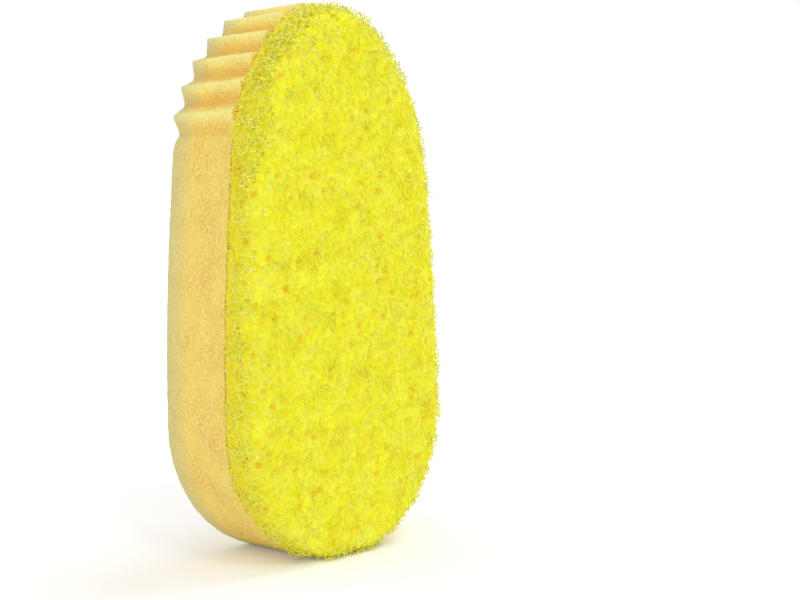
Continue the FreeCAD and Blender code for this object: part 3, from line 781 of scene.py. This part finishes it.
class DISH_WAND_OT_connector(bpy.types.Operator):
    """Give the moulded base, latch, seal and films their finishes"""

    bl_idname = "dish_wand.connector"
    bl_label = "Connector"

    def execute(self, context):
        plan = settings().connector
        housing = self.moulded("Moulded housing", plan.housing_colour, roughness=0.42)
        slide = self.moulded("Moulded slide", plan.slide_colour, roughness=0.35)
        tab = self.moulded("Moulded tab", plan.tab_colour, roughness=0.5)
        seal = self.moulded("Seal rubber", plan.seal_colour, roughness=0.6)
        film = self.moulded("Adhesive film", plan.film_colour, roughness=0.3)
        finishes = {
            "socket_housing": housing,
            "cover_plate": housing,
            "latch_slide": slide,
            "release_tab": tab,
            "neck_seal": seal,
            "foam_bond": film,
            "base_bond": film,
        }
        for node, material in finishes.items():
            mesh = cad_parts[node].data
            mesh.materials.clear()
            mesh.materials.append(material)
        return {"FINISHED"}

    def moulded(self, name, tone, roughness):
        """Plain moulded finish with a fine grain and slight unevenness of colour."""
        material, tree, shader = new_material(name)
        place = add_node(tree, "ShaderNodeTexCoord").outputs["Object"]
        clouds = add_node(tree, "ShaderNodeTexNoise", Vector=place, Scale=90.0, Detail=4.0)
        grain = add_node(tree, "ShaderNodeTexNoise", Vector=place, Scale=4000.0, Detail=2.0)
        darker = tuple(0.88 * part for part in tone)
        clouded = blend_colours(tree, clouds.outputs[0], tuple(tone), darker)
        tree.links.new(clouded, shader.inputs["Base Color"])
        low, high = roughness - 0.08, roughness + 0.08
        rough = add_node(tree, "ShaderNodeMapRange", Value=grain.outputs[0], To_Min=low, To_Max=high)
        tree.links.new(rough.outputs[0], shader.inputs["Roughness"])
        bump = add_node(tree, "ShaderNodeBump", Height=grain.outputs[0], Strength=0.25, Distance=0.00005)
        tree.links.new(bump.outputs[0], shader.inputs["Normal"])
        return material


class DISH_WAND_OT_spring(bpy.types.Operator):
    """Wind the return spring that pushes the latch back"""

    bl_idname = "dish_wand.spring"
    bl_label = "Return Spring"

    def execute(self, context):
        plan = settings().connector
        wire = plan.spring_wire / 2
        steps_per_turn = 20
        steps = steps_per_turn * plan.spring_turns
        middle = (SPRING_LOW + SPRING_HIGH) / 2
        radius = (SPRING_HIGH[0] - SPRING_LOW[0]) / 2 - wire
        height = SPRING_HIGH[2] - SPRING_LOW[2]
        foot = Vector((middle[0], middle[1], SPRING_LOW[2] + wire))
        climb = (height - 2 * wire) / steps
        coil = bmesh.new()
        section = bmesh.ops.create_circle(coil, cap_ends=True, segments=8, radius=wire)
        bmesh.ops.rotate(coil, verts=section["verts"], matrix=Matrix.Rotation(math.pi / 2, 3, "X"))
        bmesh.ops.translate(coil, verts=section["verts"], vec=foot + Vector((radius, 0, 0)))
        bmesh.ops.spin(
            coil,
            geom=coil.verts[:] + coil.edges[:] + coil.faces[:],
            cent=foot,
            axis=(0, 0, 1),
            dvec=(0, 0, climb),
            angle=2 * math.pi * plan.spring_turns,
            steps=steps,
        )
        bmesh.ops.remove_doubles(coil, verts=coil.verts, dist=wire / 100)
        bmesh.ops.recalc_face_normals(coil, faces=coil.faces)
        mesh = bpy.data.meshes.new("return_spring")
        coil.to_mesh(mesh)
        coil.free()
        mesh.shade_smooth()
        piece = new_piece("return_spring", mesh, self.finish(plan), "head", ["latch_spring"])
        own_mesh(piece)
        return {"FINISHED"}

    def finish(self, plan):
        """Bright drawn wire with faint draw marks."""
        material, tree, shader = new_material("Spring wire", Metallic=1.0)
        shader.inputs["Base Color"].default_value = (*plan.wire_colour, 1)
        place = add_node(tree, "ShaderNodeTexCoord").outputs["Object"]
        marks = add_node(tree, "ShaderNodeTexNoise", Vector=place, Scale=5000.0, Detail=3.0)
        rough = add_node(tree, "ShaderNodeMapRange", Value=marks.outputs[0], To_Min=0.22, To_Max=0.38)
        tree.links.new(rough.outputs[0], shader.inputs["Roughness"])
        return material


class DISH_WAND_OT_stage(bpy.types.Operator):
    """Set the camera, the pale floor and the soft light"""

    bl_idname = "dish_wand.stage"
    bl_label = "Stage"

    def execute(self, context):
        plan = settings().stage
        self.camera(plan)
        self.floor(plan)
        self.sky(plan)
        for name, towards, spread in SUNS:
            self.soft_sun(name, towards, spread, getattr(plan, name + "_strength"))
        context.scene.view_settings.view_transform = "Standard"
        return {"FINISHED"}

    def camera(self, plan):
        """Camera at the view of the reference."""
        turn, rise, lean = -plan.camera_azimuth, plan.camera_elevation, plan.camera_roll
        forward = Vector((math.sin(turn) * math.cos(rise), math.cos(turn) * math.cos(rise), -math.sin(rise)))
        right = Vector((math.cos(turn), -math.sin(turn), 0))
        up = right.cross(forward)
        middle = Vector((0, (SCRUB_LOW[1] + SPONGE_HIGH[1]) / 2, SCRUB_HIGH[2] / 2))
        spot = middle - forward * plan.camera_distance + right * plan.camera_right - up * plan.camera_down
        leaned_right = right * math.cos(lean) - up * math.sin(lean)
        leaned_up = right * math.sin(lean) + up * math.cos(lean)
        data = bpy.data.cameras.new("camera")
        data.lens = plan.camera_lens
        data.sensor_width = 36
        data.clip_start = 0.01
        camera = bpy.data.objects.new("camera", data)
        bpy.context.scene.collection.objects.link(camera)
        turned = Matrix((leaned_right, leaned_up, -forward)).transposed()
        camera.matrix_world = Matrix.Translation(spot) @ turned.to_4x4()
        bpy.context.scene.camera = camera

    def floor(self, plan):
        """Wide pale floor that keeps the shadow."""
        sheet = bmesh.new()
        bmesh.ops.create_grid(sheet, x_segments=1, y_segments=1, size=6)
        mesh = bpy.data.meshes.new("floor")
        sheet.to_mesh(mesh)
        sheet.free()
        floor = bpy.data.objects.new("floor", mesh)
        bpy.context.scene.collection.objects.link(floor)
        material, tree, shader = new_material("Pale floor", Roughness=0.9, Specular_IOR_Level=0)
        shader.inputs["Base Color"].default_value = (*plan.floor_colour, 1)
        shader.inputs["Emission Color"].default_value = (1, 1, 1, 1)
        white = add_node(tree, "ShaderNodeMapRange", Value=camera_share(tree), To_Max=plan.floor_glow)
        tree.links.new(white.outputs[0], shader.inputs["Emission Strength"])
        mesh.materials.append(material)

    def sky(self, plan):
        """Even pale light, white where the camera looks past the floor."""
        world = bpy.data.worlds.new("sky")
        bpy.context.scene.world = world
        world.use_nodes = True
        tree = world.node_tree
        ground = tree.nodes["Background"]
        ground.inputs["Color"].default_value = (1, 1, 1, 1)
        strength = add_node(
            tree, "ShaderNodeMapRange", Value=camera_share(tree), To_Min=plan.sky_strength, To_Max=1.0
        )
        tree.links.new(strength.outputs[0], ground.inputs["Strength"])

    def soft_sun(self, name, towards, spread, strength):
        """Wide sun whose light comes from a direction."""
        data = bpy.data.lights.new(name, "SUN")
        data.angle = math.radians(spread)
        data.energy = strength
        lamp = bpy.data.objects.new(name, data)
        bpy.context.scene.collection.objects.link(lamp)
        lamp.location = towards
        lamp.rotation_euler = Vector(towards).to_track_quat("Z", "Y").to_euler()


class DishWandSettings(bpy.types.PropertyGroup):
    """All settings of the head."""

    lean: length("Lean", "How far the soft toe leans to one side", 0.001)
    lean_start: length("Lean start", "Height where it begins to lean", 0.08)
    scrub: PointerProperty(type=ScrubFoamSettings, name="Scrub foam")
    sponge: PointerProperty(type=SpongeSettings, name="Sponge")
    connector: PointerProperty(type=ConnectorSettings, name="Connector")
    stage: PointerProperty(type=StageSettings, name="Stage")


STEPS = (
    ("scrub", DISH_WAND_OT_scrub_foam),
    ("sponge", DISH_WAND_OT_sponge),
    ("connector", DISH_WAND_OT_connector),
    ("connector", DISH_WAND_OT_spring),
    ("stage", DISH_WAND_OT_stage),
)


class DISH_WAND_PT_head(bpy.types.Panel):
    """Steps and settings of the head"""

    bl_idname = "DISH_WAND_PT_head"
    bl_label = "Dish Wand Head"
    bl_space_type = "VIEW_3D"
    bl_region_type = "UI"
    bl_category = "Dish Wand"

    def draw(self, context):
        for key in ("lean", "lean_start"):
            self.layout.prop(settings(), key)
        shown = None
        for group, step in STEPS:
            self.layout.operator(step.bl_idname)
            if group != shown:
                values = getattr(settings(), group)
                for key in values.__annotations__:
                    self.layout.prop(values, key)
                shown = group


CLASSES = (
    ScrubFoamSettings,
    SpongeSettings,
    ConnectorSettings,
    StageSettings,
    DishWandSettings,
    *(step for _, step in STEPS),
    DISH_WAND_PT_head,
)


def register():
    for each in CLASSES:
        bpy.utils.register_class(each)
    bpy.types.Scene.dish_wand = PointerProperty(type=DishWandSettings)


def unregister():
    del bpy.types.Scene.dish_wand
    for each in reversed(CLASSES):
        bpy.utils.unregister_class(each)


def main():
    register()
    bpy.ops.dish_wand.scrub_foam()
    bpy.ops.dish_wand.sponge()
    bpy.ops.dish_wand.connector()
    bpy.ops.dish_wand.spring()
    bpy.ops.dish_wand.stage()
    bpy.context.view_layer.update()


if __name__ == "__main__":
    main()
